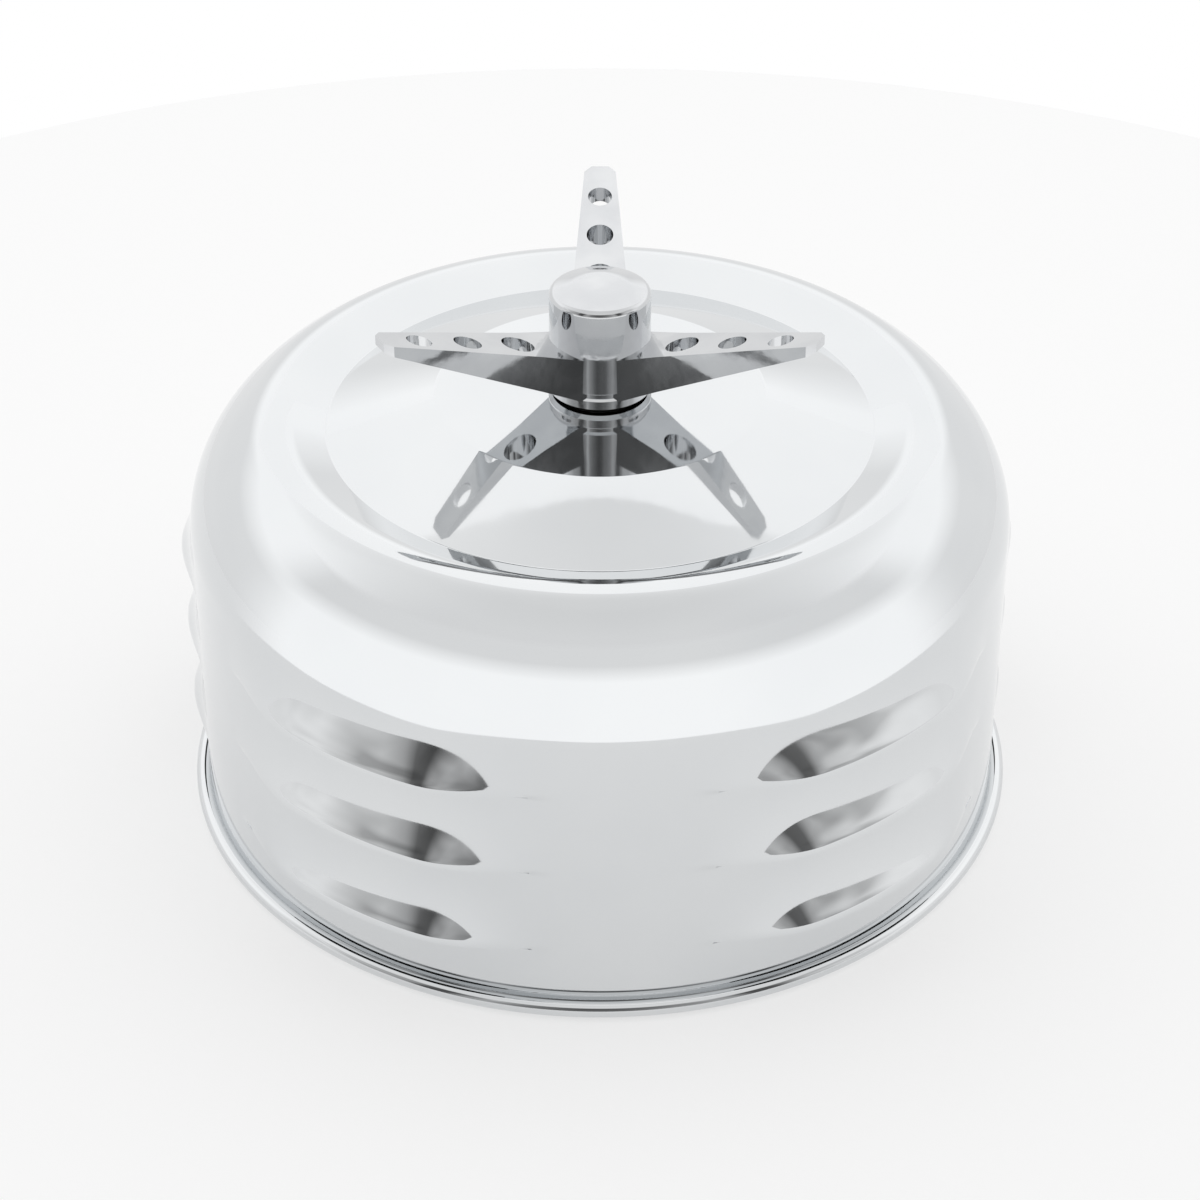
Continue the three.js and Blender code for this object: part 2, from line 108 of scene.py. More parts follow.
HUB_R = 9.8
HUB_TOP_R = 9.6
HUB_BOTTOM = PLATEAU_Z + 0.5
HUB_TOP = PLATEAU_Z + 21.4
HUB_CHAMFER = 0.7
GROOVE_DEPTH = 0.5
GROOVE_BOTTOM = 2.4
GROOVE_TOP = 4
GROOVE_SLOPE = 0.4
DOME = 1.5
RECESS_R = 8.2
RECESS_HEIGHT = 1.8
INSERT_R = 5.5
ROOM_OVER_STUD = 1.8

ARM_REACH = 46
ARM_ROOT = 5
ARM_LOW_AT_HUB = 3.8
ARM_TOP_AT_HUB = 12.3
ARM_LOW_AT_TIP = 22.1
ARM_TOP_AT_TIP = 24
ARM_TIP_WIDTH = 6.2
ARM_MID_R = 15
ARM_MID_WIDTH = 10.5
ARM_ROOT_WIDTH = 15
ARM_CORNER = 1.4
ARM_HOLES = ((17.6, 3.1), (28.1, 2.6), (38, 2.35))
ARM_EDGE = 0.8

STUD_R = 3.1
STUD_BOTTOM = 13.5
STUD_TOP = 102.5
THREAD_PITCH = 1.27
THREAD_DEPTH = 0.55
STUD_CHAMFER = 0.7
NUT_CLEARANCE = 0.3
HEX_CORNER = 1.155

FILTER_INNER_R = 42.9
FILTER_OUTER_R = 58.5
SCREEN_WALL = 0.6
PLEATS = 96
PLEAT_DEPTH = 10.4
PLEAT_GAP = 0.8
PLEAT_BACKING = 1.5
SEAL_RIB = 0.5
SEAL_RIB_PLACE = 3.5
SEAL_RIB_FOOT = 0.9
SEAL_RIB_TOP = 0.4
STRAND_HALF_WIDTH = 0.42
STRAND_LIFT = 0.06
CELL_SHAPE = 0.62

COLUMNS = 360


# ---------------------------------------------------------------- mesh helpers

def mesh_object(name, vertices, faces, material, crease=32):
    """A smooth-shaded object from points in millimetres, with its edges sharp above the crease angle."""
    mesh = bpy.data.meshes.new(name)
    mesh.from_pydata([Vector(v) * MM for v in vertices], [], faces)
    shaped = bmesh.new()
    shaped.from_mesh(mesh)
    bmesh.ops.remove_doubles(shaped, verts=shaped.verts, dist=1e-7)
    bmesh.ops.recalc_face_normals(shaped, faces=shaped.faces)
    shaped.to_mesh(mesh)
    shaped.free()
    mesh.polygons.foreach_set("use_smooth", [True] * len(mesh.polygons))
    mesh.set_sharp_from_angle(angle=math.radians(crease))
    mesh.materials.append(material)
    obj = bpy.data.objects.new(name, mesh)
    bpy.context.scene.collection.objects.link(obj)
    return obj


def around(radius, azimuth, z):
    """A point at an azimuth in radians, measured from -Y towards +X."""
    return (radius * math.sin(azimuth), -radius * math.cos(azimuth), z)


def ring_faces(columns, count):
    """The quads between neighbouring columns of a ring, each a closed loop of count points."""
    faces = []
    for j in range(columns):
        k = (j + 1) % columns
        for i in range(count):
            up = (i + 1) % count
            faces.append((j * count + i, k * count + i, k * count + up, j * count + up))
    return faces


def ribbon_faces(columns):
    """The quads of a ribbon whose points come in pairs, a low one and a high one."""
    return [(2 * i, 2 * i + 2, 2 * i + 3, 2 * i + 1) for i in range(columns)]


def turned(name, profile, material, columns=160, crease=32):
    """A closed profile of (radius, height) points turned about Z."""
    vertices = []
    for j in range(columns):
        vertices += [around(r, TURN * j / columns, z) for r, z in profile]
    return mesh_object(name, vertices, ring_faces(columns, len(profile)), material, crease)


def arc(centre_r, centre_z, radius, start, end, steps):
    """Points on an arc. Angles run from the radial direction, upwards, in degrees."""
    points = []
    for i in range(steps + 1):
        angle = math.radians(start + (end - start) * i / steps)
        points.append((centre_r + radius * math.cos(angle), centre_z + radius * math.sin(angle)))
    return points


def rounded(points, radii, steps=6):
    """The corners of an open outline rounded, each to its own radius. The two ends stay."""
    outline = [points[0]]
    for i in range(1, len(points) - 1):
        corner = Vector(points[i])
        back = Vector(points[i - 1]) - corner
        ahead = Vector(points[i + 1]) - corner
        if radii[i] == 0:
            outline.append(points[i])
            continue
        half = back.angle(ahead) / 2
        reach = min(radii[i] / math.tan(half), back.length * 0.49, ahead.length * 0.49)
        radius = reach * math.tan(half)
        start = corner + back.normalized() * reach
        end = corner + ahead.normalized() * reach
        inwards = (back.normalized() + ahead.normalized()).normalized()
        centre = corner + inwards * radius / math.sin(half)
        for k in range(steps + 1):
            spoke = (start - centre).lerp(end - centre, k / steps).normalized() * radius
            outline.append(tuple(centre + spoke))
    outline.append(points[-1])
    return outline


def offset(profile, distance):
    """A profile moved sideways, to the right of its direction of travel."""
    moved = []
    for i, (r, z) in enumerate(profile):
        r0, z0 = profile[max(i - 1, 0)]
        r1, z1 = profile[min(i + 1, len(profile) - 1)]
        length = math.hypot(r1 - r0, z1 - z0)
        moved.append((r + distance * (z1 - z0) / length, z - distance * (r1 - r0) / length))
    return moved


def smooth(share):
    """An even rise from 0 to 1 that starts and ends level."""
    return (1 - math.cos(math.pi * min(max(share, 0), 1))) / 2


# ---------------------------------------------------------------- materials

# Most values of a noise texture lie in this range, so it is spread over what the texture drives.
NOISE_RANGE = (0.35, 0.65)


def new_material(name, color, metallic, roughness):
    material = bpy.data.materials.new(name)
    material.use_nodes = True
    shader = material.node_tree.nodes["Principled BSDF"]
    shader.inputs["Base Color"].default_value = (*color, 1)
    shader.inputs["Metallic"].default_value = metallic
    shader.inputs["Roughness"].default_value = roughness
    return material, shader


def noise(material, scale, detail=3.0, stretch=(1, 1, 1)):
    """A noise texture in object space, in metres. Returns its factor socket."""
    tree = material.node_tree
    place = tree.nodes.new("ShaderNodeTexCoord")
    mapping = tree.nodes.new("ShaderNodeMapping")
    texture = tree.nodes.new("ShaderNodeTexNoise")
    mapping.inputs["Scale"].default_value = stretch
    texture.inputs["Scale"].default_value = scale
    texture.inputs["Detail"].default_value = detail
    tree.links.new(place.outputs["Object"], mapping.inputs["Vector"])
    tree.links.new(mapping.outputs["Vector"], texture.inputs["Vector"])
    return texture.outputs["Fac"]


def map_range(tree, socket, source, target=(0, 1), interpolation="LINEAR"):
    """A value brought from one range to another and held inside it. Returns the result's socket."""
    node = tree.nodes.new("ShaderNodeMapRange")
    node.interpolation_type = interpolation
    node.inputs["From Min"].default_value, node.inputs["From Max"].default_value = source
    node.inputs["To Min"].default_value, node.inputs["To Max"].default_value = target
    tree.links.new(socket, node.inputs["Value"])
    return node.outputs["Result"]


def vary_roughness(material, shader, factor, low, high):
    tree = material.node_tree
    spread = map_range(tree, factor, NOISE_RANGE, (low, high))
    tree.links.new(spread, shader.inputs["Roughness"])


def vary_color(material, shader, factor, dark, light):
    tree = material.node_tree
    ramp = tree.nodes.new("ShaderNodeValToRGB")
    for element, position, color in zip(ramp.color_ramp.elements, NOISE_RANGE, (dark, light)):
        element.position = position
        element.color = (*color, 1)
    tree.links.new(factor, ramp.inputs["Fac"])
    tree.links.new(ramp.outputs["Color"], shader.inputs["Base Color"])


def bump(material, shader, factor, strength, distance):
    tree = material.node_tree
    node = tree.nodes.new("ShaderNodeBump")
    node.inputs["Strength"].default_value = strength
    node.inputs["Distance"].default_value = distance
    tree.links.new(factor, node.inputs["Height"])
    tree.links.new(node.outputs["Normal"], shader.inputs["Normal"])


def chrome_shell():
    """Bright chrome on drawn sheet: a slight ripple, and a faint haze that comes and goes."""
    material, shader = new_material("chrome_shell", (0.70, 0.715, 0.725), 1, 0.045)
    vary_color(material, shader, noise(material, 22), (0.685, 0.70, 0.712), (0.715, 0.728, 0.737))
    vary_roughness(material, shader, noise(material, 60), 0.03, 0.07)
    bump(material, shader, noise(material, 95, 1.0), 0.05, 0.0004)
    return material


def chrome_casting():
    """Chrome on a die casting, a little softer than the sheet."""
    material, shader = new_material("chrome_casting", (0.64, 0.65, 0.66), 1, 0.06)
    vary_color(material, shader, noise(material, 120), (0.61, 0.62, 0.635), (0.67, 0.68, 0.69))
    vary_roughness(material, shader, noise(material, 300), 0.04, 0.09)
    bump(material, shader, noise(material, 260, 2.0), 0.06, 0.0003)
    return material


def zinc(name, tint):
    """Zinc plate: a fine grain and cloudy patches."""
    material, shader = new_material(name, tint, 1, 0.3)
    dark = tuple(c * 0.82 for c in tint)
    vary_color(material, shader, noise(material, 240), dark, tint)
    vary_roughness(material, shader, noise(material, 500), 0.24, 0.42)
    bump(material, shader, noise(material, 2500, 4.0), 0.15, 0.0001)
    return material


def brass():
    """Turned brass, with faint rings across its axis."""
    material, shader = new_material("brass", (0.72, 0.58, 0.30), 1, 0.28)
    vary_color(material, shader, noise(material, 300), (0.62, 0.48, 0.23), (0.76, 0.62, 0.34))
    vary_roughness(material, shader, noise(material, 700, 3.0, (1, 1, 12)), 0.2, 0.36)
    return material


def rubber(name, tint, rough):
    """Moulded rubber: matt, with a fine grain."""
    material, shader = new_material(name, tint, 0, rough)
    vary_color(material, shader, noise(material, 180), tint, tuple(c * 1.9 for c in tint))
    vary_roughness(material, shader, noise(material, 420), rough - 0.08, rough + 0.08)
    bump(material, shader, noise(material, 1800, 4.0), 0.2, 0.0002)
    return material


def filter_paper():
    """Resin-treated paper: warm, fibrous and matt."""
    material, shader = new_material("filter_paper", (0.80, 0.71, 0.50), 0, 0.9)
    fibres = noise(material, 900, 6.0, (1, 1, 0.25))
    vary_color(material, shader, fibres, (0.70, 0.60, 0.39), (0.86, 0.78, 0.57))
    bump(material, shader, noise(material, 2600, 5.0), 0.4, 0.0002)
    return material


CHROME = chrome_shell()
CASTING = chrome_casting()
SHEET_ZINC = zinc("zinc_plate", (0.60, 0.61, 0.60))
HARDWARE = zinc("zinc_hardware", (0.56, 0.57, 0.57))
BRASS = brass()
RUBBER = rubber("black_rubber", (0.018, 0.018, 0.018), 0.6)
MOULDING = rubber("filter_moulding", (0.028, 0.028, 0.031), 0.5)
PAPER = filter_paper()
WIRE = zinc("wire_cloth", (0.60, 0.61, 0.62))


# ---------------------------------------------------------------- the louvered cover

def wall_radius(z):
    """The wall's outer radius at a height, without its louvers. The shoulder is a quarter ellipse."""
    above = max(z - SHOULDER_Z, 0) / SHOULDER_RISE
    return WALL_R - SHOULDER_REACH * (1 - math.sqrt(1 - above ** 2))


def louver_section(share, curl=0.1):
    """A louver's rise from its lip, at 0, to its top, at 1: a parabola with a short curl at the lip."""
    share = min(max(share, 0), 1)
    if share > curl:
        return (1 - share) ** 2
    slope = 2 * (1 - curl)
    return (1 - curl) ** 2 + slope * (curl ** 2 - share ** 2) / (2 * curl)


def louver_rise(azimuth, z):
    """How far the wall stands out at an azimuth in degrees and a height."""
    pitch = 360 / LOUVER_GROUPS
    away = abs((azimuth - FIRST_GROUP + pitch / 2) % pitch - pitch / 2)
    across = (LOUVER_END - away) / (LOUVER_END - LOUVER_FLAT)
    for lip in LIP_HEIGHTS:
        if lip - LIP_STEP / 2 < z < lip + LOUVER_HEIGHT:
            return LOUVER_RISE * smooth(across) * louver_section((z - lip) / LOUVER_HEIGHT)
    return 0


def lid_profile():
    """The outer face of the dished top, from the stud hole to the highest louver."""
    start = math.atan(math.tan(math.radians(CROWN_END)) * SHOULDER_RISE / SHOULDER_REACH)
    end = math.asin((LIP_HEIGHTS[0] + LOUVER_HEIGHT - SHOULDER_Z) / SHOULDER_RISE)
    shoulder = [
        (WALL_R - SHOULDER_REACH * (1 - along), SHOULDER_Z + SHOULDER_RISE * up)
        for along, up in arc(0, 0, 1, math.degrees(start), math.degrees(end), 40)
    ]
    turn = math.radians(CROWN_END)
    crown_r = shoulder[0][0] - CROWN_R * math.cos(turn)
    crown_z = shoulder[0][1] - CROWN_R * math.sin(turn)
    crown = arc(crown_r, crown_z, CROWN_R, CROWN_START, CROWN_END, 14)
    dish = rounded(
        [(STUD_HOLE_R, PLATEAU_Z), (PLATEAU_R, PLATEAU_Z), (VALLEY_R, VALLEY_Z), crown[0]],
        [0, PLATEAU_FILLET, VALLEY_FILLET, 0],
        10,
    )
    return dish[:-1] + crown[:-1] + shoulder


def wall_heights():
    """The heights of the wall's rows, from the top down, and the places in the list where a lip ends."""
    heights = []
    lips = []
    for lip in LIP_HEIGHTS:
        heights += [lip + LOUVER_HEIGHT * (1 - k / 20) for k in range(21)]
        lips.append(len(heights) - 1)
        heights += [lip - LIP_STEP, lip - LIP_STEP - 0.5]
    heights += [9, 5]
    return heights, lips


def louvered_cover():
    """The cover as one closed sheet, its outer rows before its inner ones, with open louver slots."""
    top = lid_profile()
    heights, lips = wall_heights()
    groove = math.degrees(math.acos((WALL_R - BEAD_CENTRE_R) / BEAD_R))
    bead = arc(BEAD_CENTRE_R, BEAD_Z, BEAD_R, groove, -120, 20)
    inner_top = [(max(r, STUD_HOLE_R), z) for r, z in offset(top, SHEET)][:-1]

    outer = [(r, z, False) for r, z in top[:-1]]
    first_wall = len(outer)
    outer += [(wall_radius(z), z, True) for z in heights]
    outer += [(r, z, False) for r, z in bead]
    inner = [(WALL_R - SHEET, BEAD_Z, False)]
    inner_wall = len(outer) + 1
    inner += [(wall_radius(z) - SHEET, z, True) for z in reversed(heights)]
    inner += [(r, z, False) for r, z in reversed(inner_top)]
    rows = outer + inner

    count = len(rows)
    last_wall = len(heights) - 1
    lip_rows = [(first_wall + i, inner_wall + last_wall - i) for i in lips]
    vertices = []
    for j in range(COLUMNS):
        azimuth = 360 * j / COLUMNS
        for r, z, on_wall in rows:
            rise = louver_rise(azimuth, z) if on_wall else 0
            vertices.append(around(r + rise, math.radians(azimuth), z))

    def open_slot(j, lip):
        return louver_rise(360 * j / COLUMNS, lip) > SLOT_RISE

    skipped = {}
    for (a, a_in), lip in zip(lip_rows, LIP_HEIGHTS):
        skipped[a] = lip
        skipped[a_in - 1] = lip
    faces = []
    for j in range(COLUMNS):
        k = (j + 1) % COLUMNS
        for i in range(count):
            lip = skipped.get(i)
            if lip is not None and open_slot(j, lip) and open_slot(k, lip):
                continue
            up = (i + 1) % count
            faces.append((j * count + i, k * count + i, k * count + up, j * count + up))
        for (a, a_in), lip in zip(lip_rows, LIP_HEIGHTS):
            here, there = open_slot(j, lip), open_slot(k, lip)
            b, b_in = a + 1, a_in - 1
            if here and there:
                faces.append((j * count + a, k * count + a, k * count + a_in, j * count + a_in))
                faces.append((j * count + b, k * count + b, k * count + b_in, j * count + b_in))
            elif here != there:
                edge = j if here else k
                faces.append(tuple(edge * count + i for i in (a, a_in, b_in, b)))
    cover = mesh_object("louvered_cover_skin", vertices, faces, CHROME, 38)
    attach(cover, "cover")
    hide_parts("louvered_cover")


# ---------------------------------------------------------------- the base pan

def base_pan():
    """The pan under the cover: a raised floor with a step round the neck, a foot and an upright rim."""
    under = rounded(
        [
            (BASE_HOLE_R, BASE_FLOOR_Z + BASE_STEP),
            (BASE_STEP_R - BASE_STEP, BASE_FLOOR_Z + BASE_STEP),
            (BASE_STEP_R, BASE_FLOOR_Z),
            (BASE_FLOOR_R, BASE_FLOOR_Z),
            (BASE_FOOT_R, 0),
            (BASE_RIM_R, 0),
            (BASE_RIM_R, BASE_RIM_TOP),
        ],
        [0, 0.8, 0.8, 1.6, 1.6, 2, 0],
    )
    profile = under + list(reversed(offset(under, -SHEET)))
    pan = turned("base_pan", profile, CHROME, 240)
    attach(pan, "base")
    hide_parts("base_plate")


# ---------------------------------------------------------------- the spinner nut

def prism(name, outline, low, high, material):
    """An upright prism over an outline of (x, y) points."""
    count = len(outline)
    vertices = [(x, y, low) for x, y in outline] + [(x, y, high) for x, y in outline]
    faces = [tuple(range(count)), tuple(range(count, 2 * count))]
    for i in range(count):
        j = (i + 1) % count
        faces.append((i, j, count + j, count + i))
    return mesh_object(name, vertices, faces, material)


def combine(obj, other, operation):
    """Joins or cuts obj with another object, which is then removed."""
    modifier = obj.modifiers.new("combine", "BOOLEAN")
    modifier.operation = operation
    modifier.object = other
    modifier.solver = "EXACT"
    bpy.context.view_layer.update()
    evaluated = obj.evaluated_get(bpy.context.evaluated_depsgraph_get())
    mesh = bpy.data.meshes.new_from_object(evaluated)
    obj.modifiers.clear()
    obj.data = mesh
    bpy.data.objects.remove(other)


def circle(x, radius, count):
    angles = [TURN * i / count for i in range(count)]
    return [(x + radius * math.cos(angle), radius * math.sin(angle)) for angle in angles]


def spinner_arm():
    """One arm along +X: its plan, with three holes, cut to its side view."""
    half = ARM_ROOT_WIDTH / 2
    middle = ARM_MID_WIDTH / 2
    tip = ARM_TIP_WIDTH / 2
    edge = [
        (0, half),
        (ARM_MID_R, middle),
        (ARM_REACH - ARM_CORNER, tip),
        (ARM_REACH, tip - ARM_CORNER),
    ]
    outline = [(x, -y) for x, y in edge] + list(reversed(edge))
    arm = prism("arm", outline, HUB_BOTTOM - 20, HUB_TOP + 20, CASTING)
    for x, radius in ARM_HOLES:
        hole = prism("hole", circle(x, radius, 40), HUB_BOTTOM - 30, HUB_TOP + 30, CASTING)
        combine(arm, hole, "DIFFERENCE")
    slope_low = (ARM_LOW_AT_TIP - ARM_LOW_AT_HUB) / (ARM_REACH - HUB_R)
    slope_top = (ARM_TOP_AT_TIP - ARM_TOP_AT_HUB) / (ARM_REACH - HUB_R)
    inwards = HUB_R - ARM_ROOT
    reach = ARM_REACH + 5
    side = [
        (ARM_ROOT, ARM_LOW_AT_HUB - slope_low * inwards),
        (reach, ARM_LOW_AT_TIP + slope_low * (reach - ARM_REACH)),
        (reach, ARM_TOP_AT_TIP + slope_top * (reach - ARM_REACH)),
        (ARM_ROOT, ARM_TOP_AT_HUB - slope_top * inwards),
    ]
    slab = prism("slab", side, -20, 20, CASTING)
    for vertex in slab.data.vertices:
        x, up, across = vertex.co
        vertex.co = (x, -across, up + PLATEAU_Z * MM)
    combine(arm, slab, "INTERSECT")
    return arm


def spinner_nut():
    """The hub with its domed top and groove, three arms, a recess for the washer and a blind bore."""
    dome = rounded(
        [
            (HUB_TOP_R, HUB_TOP - 6),
            (HUB_TOP_R, HUB_TOP + 0.2),
            (HUB_TOP_R * 0.5, HUB_TOP + DOME),
            (0.02, HUB_TOP + DOME),
        ],
        [0, 1.3, 8, 0],
        8,
    )
    hub = turned(
        "spinner_nut_casting",
        [
            (0.02, HUB_BOTTOM),
            (HUB_R - HUB_CHAMFER, HUB_BOTTOM),
            (HUB_R, HUB_BOTTOM + HUB_CHAMFER),
            (HUB_R, HUB_BOTTOM + GROOVE_BOTTOM),
            (HUB_R - GROOVE_DEPTH, HUB_BOTTOM + GROOVE_BOTTOM + GROOVE_SLOPE),
            (HUB_R - GROOVE_DEPTH, HUB_BOTTOM + GROOVE_TOP - GROOVE_SLOPE),
            (HUB_R, HUB_BOTTOM + GROOVE_TOP),
            *dome,
        ],
        CASTING,
        72,
    )
    for i in range(3):
        arm = spinner_arm()
        arm.data.transform(Matrix.Rotation(math.radians(90 + 120 * i), 4, "Z"))
        combine(hub, arm, "UNION")
    below = PLATEAU_Z - 5
    recess = prism("recess", circle(0, RECESS_R, 48), below, PLATEAU_Z + RECESS_HEIGHT, CASTING)
    combine(hub, recess, "DIFFERENCE")
    bore = prism("bore", circle(0, INSERT_R, 40), below, STUD_TOP + ROOM_OVER_STUD, CASTING)
    combine(hub, bore, "DIFFERENCE")
    soften = hub.modifiers.new("soften", "BEVEL")
    soften.width = ARM_EDGE * MM
    soften.segments = 3
    soften.limit_method = "ANGLE"
    soften.angle_limit = math.radians(28)
    soften.harden_normals = True
    hub.data.polygons.foreach_set("use_smooth", [True] * len(hub.data.polygons))
    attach(hub, "spinner")
    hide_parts("spinner_nut")


# ---------------------------------------------------------------- the stud and its fasteners

def threaded_stud():
    """A helical thread on the stud, fading at its two chamfered ends."""
    columns = 32
    per_turn = 8
    rows = int((STUD_TOP - STUD_BOTTOM) / THREAD_PITCH * per_turn)
    vertices = []
    faces = []
    for i in range(rows + 1):
        z = STUD_BOTTOM + (STUD_TOP - STUD_BOTTOM) * i / rows
        ends = min(z - STUD_BOTTOM, STUD_TOP - z)
        chamfer = max(0, STUD_CHAMFER - ends)
        for j in range(columns):
            phase = (z / THREAD_PITCH + j / columns) % 1
            depth = THREAD_DEPTH * (1 - abs(2 * phase - 1))
            vertices.append(around(STUD_R - max(depth, chamfer), TURN * j / columns, z))
    for i in range(rows):
        for j in range(columns):
            k = (j + 1) % columns
            low, high = i * columns, (i + 1) * columns
            faces.append((low + j, low + k, high + k, high + j))
    faces.append(tuple(range(columns)))
    faces.append(tuple(rows * columns + j for j in range(columns)))
    stud = mesh_object("threaded_stud", vertices, faces, HARDWARE, 50)
    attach(stud, "base")
    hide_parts("center_stud")


def hex_nut(name, node, body):
    """A hexagon nut with chamfered corners, in the place of its CAD node."""
    low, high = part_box(node)
    centre = (low + high) / 2 / MM
    apothem = min(high.x - low.x, high.y - low.y) / 2 / MM
    bottom, top = low.z / MM, high.z / MM
    height = top - bottom
    bore_r = STUD_R + NUT_CLEARANCE
    chamfers = [(0, 0.12), (0.12, 0.02), (0.24, 0), (0.76, 0), (0.88, 0.02), (1, 0.12)]
    columns = 96
    vertices = []
    for j in range(columns):
        azimuth = TURN * j / columns
        flat = (azimuth + math.pi / 6) % (math.pi / 3) - math.pi / 6
        corner = apothem / math.cos(flat)
        ring = [(bore_r, bottom)]
        for share, cut in chamfers:
            ring.append((min(corner, apothem * (HEX_CORNER - cut)), bottom + share * height))
        ring.append((bore_r, top))
        vertices += [
            (centre.x + r * math.sin(azimuth), centre.y - r * math.cos(azimuth), z) for r, z in ring
        ]
    nut = mesh_object(name, vertices, ring_faces(columns, len(chamfers) + 2), HARDWARE, 24)
    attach(nut, body)
    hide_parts(node)


# ---------------------------------------------------------------- the filter

def filter_seal(name, node):
    """A cast ring with round edges and two raised sealing ribs on its outer face."""
    low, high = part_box(node)
    bottom, top = low.z / MM, high.z / MM
    inner, outer = FILTER_INNER_R, FILTER_OUTER_R
    middle = (inner + outer) / 2
    floor_z, face_z = bottom + SEAL_RIB, top - SEAL_RIB
    ribs = []
    for rib in (middle - SEAL_RIB_PLACE, middle + SEAL_RIB_PLACE):
        ribs += [
            (rib - SEAL_RIB_FOOT, face_z),
            (rib - SEAL_RIB_TOP, top),
            (rib + SEAL_RIB_TOP, top),
            (rib + SEAL_RIB_FOOT, face_z),
        ]
    inside = [(middle, floor_z), (inner, floor_z), (inner, face_z)]
    outside = [(outer, face_z), (outer, floor_z), (middle + 0.1, floor_z)]
    radii = [0, 0.8, 0.8] + [0.2] * len(ribs) + [0.8, 0.8, 0]
    profile = rounded(inside + ribs + outside, radii, 3)
    seal = turned(name, profile, MOULDING, 144)
    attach(seal, "filter")
    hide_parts(node)


def filter_media():
    """A paper band folded back and forth, as one thin closed sheet."""
    low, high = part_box("filter_pleats")
    bottom, top = low.z / MM + 0.1, high.z / MM - 0.1
    tip = FILTER_OUTER_R - SCREEN_WALL - PLEAT_GAP
    fold = 8
    columns = PLEATS * fold
    rows = 5
    heights = [bottom + (top - bottom) * i / (rows - 1) for i in range(rows)]
    vertices = []
    for j in range(columns):
        azimuth = TURN * j / columns
        share = abs(2 * ((j / fold) % 1) - 1)
        depth = PLEAT_DEPTH * smooth(share * 0.9 + 0.05)
        for i, z in enumerate(heights):
            bow = 0.25 * math.sin(math.pi * i / (rows - 1)) * math.sin(j * 0.37)
            vertices.append(around(tip - depth + bow, azimuth, z))
        vertices += [around(tip - depth - PLEAT_BACKING, azimuth, z) for z in reversed(heights)]
    media = mesh_object("pleated_paper", vertices, ring_faces(columns, 2 * rows), PAPER, 70)
    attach(media, "filter")
    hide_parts("filter_pleats")


def expanded_screen(name, node, radius, cells):
    """Expanded mesh round the pleats: two sets of slanted strands that cross in diamonds."""
    low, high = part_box(node)
    bottom, top = low.z / MM, high.z / MM
    height = top - bottom
    thickness = SCREEN_WALL * 0.64
    steps = 24
    crossings = height / (TURN * radius / cells * CELL_SHAPE)
    vertices = []
    faces = []
    for direction in (-1, 1):
        lift = STRAND_LIFT * direction
        for strand in range(cells):
            start = len(vertices)
            for i in range(steps + 1):
                share = i / steps
                azimuth = TURN / cells * (strand + direction * share * crossings)
                z = bottom + height * share
                for out in (0, thickness):
                    for side in (-STRAND_HALF_WIDTH, STRAND_HALF_WIDTH):
                        vertices.append(around(radius + lift + out, azimuth + side / radius, z))
            for i in range(steps):
                a = start + 4 * i
                b = a + 4
                for p, q in ((0, 1), (1, 3), (3, 2), (2, 0)):
                    faces.append((a + p, a + q, b + q, b + p))
            faces.append((start, start + 1, start + 3, start + 2))
            end = start + 4 * steps
            faces.append((end, end + 1, end + 3, end + 2))
    screen = mesh_object(name, vertices, faces, WIRE, 30)
    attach(screen, "filter")
    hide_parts(node)


# ---------------------------------------------------------------- CAD pieces that keep their shape

def finish_cad_piece(node, material):
    """A CAD node that stays: its material, and smooth shading between its sharp edges."""
    obj = nodes[node]
    obj.data.materials.clear()
    obj.data.materials.append(material)
    obj.data.polygons.foreach_set("use_smooth", [True] * len(obj.data.polygons))
    obj.data.set_sharp_from_angle(angle=math.radians(30))


# ---------------------------------------------------------------- studio

CAMERA_ELEVATION = 34.35
CAMERA_DISTANCE = 0.63998
TARGET_Z = 0.0382
LENS = 96.39
SENSOR_WIDTH = 36

# The floor's radius is in metres. Its height, in millimetres, is just under the part's foot.
FLOOR_R = 0.33
FLOOR_Z = -0.1
FLOOR_TONE = 0.42
FLOOR_GLOW = 0.56


def camera():
    """The camera in front of the part, looking down at it."""
    data = bpy.data.cameras.new("camera")
    data.lens = LENS
    data.sensor_width = SENSOR_WIDTH
    obj = bpy.data.objects.new("camera", data)
    bpy.context.scene.collection.objects.link(obj)
    tilt = math.radians(CAMERA_ELEVATION)
    obj.location = (
        0,
        -CAMERA_DISTANCE * math.cos(tilt),
        TARGET_Z + CAMERA_DISTANCE * math.sin(tilt),
    )
    obj.rotation_euler = (math.pi / 2 - tilt, 0, 0)
    bpy.context.scene.camera = obj


def floor():
    """A white sheet under the part. It glows, so that the part's shadow on it stays faint."""
    material, shader = new_material("paper_sweep", (FLOOR_TONE,) * 3, 0, 1)
    shader.inputs["Emission Color"].default_value = (1, 1, 1, 1)
    shader.inputs["Emission Strength"].default_value = FLOOR_GLOW
    count = 96
    vertices = [around(FLOOR_R / MM, TURN * i / count, FLOOR_Z) for i in range(count)]
    obj = mesh_object("floor", vertices, [tuple(range(count))], material)


# The sky's brightness by elevation in degrees, and how far the room covers it, from 0 to 1.
SKY_FRONT = ((-90, 0.85), (-2, 0.85), (24, 0.9), (60, 0.9), (75, 0.86), (90, 0.88))
SKY_BACK = (
    (-90, 0.8), (-6, 0.95), (0, 0.95), (12, 0.97), (22, 1.24),
    (36, 1.24), (60, 1.0), (75, 0.9), (90, 0.88),
)
SKY_CHANGE = (-0.35, 0.25)
ROOM_BAND = ((-90, 0), (-25, 0), (-20, 1), (36, 1), (42, 0), (90, 0))

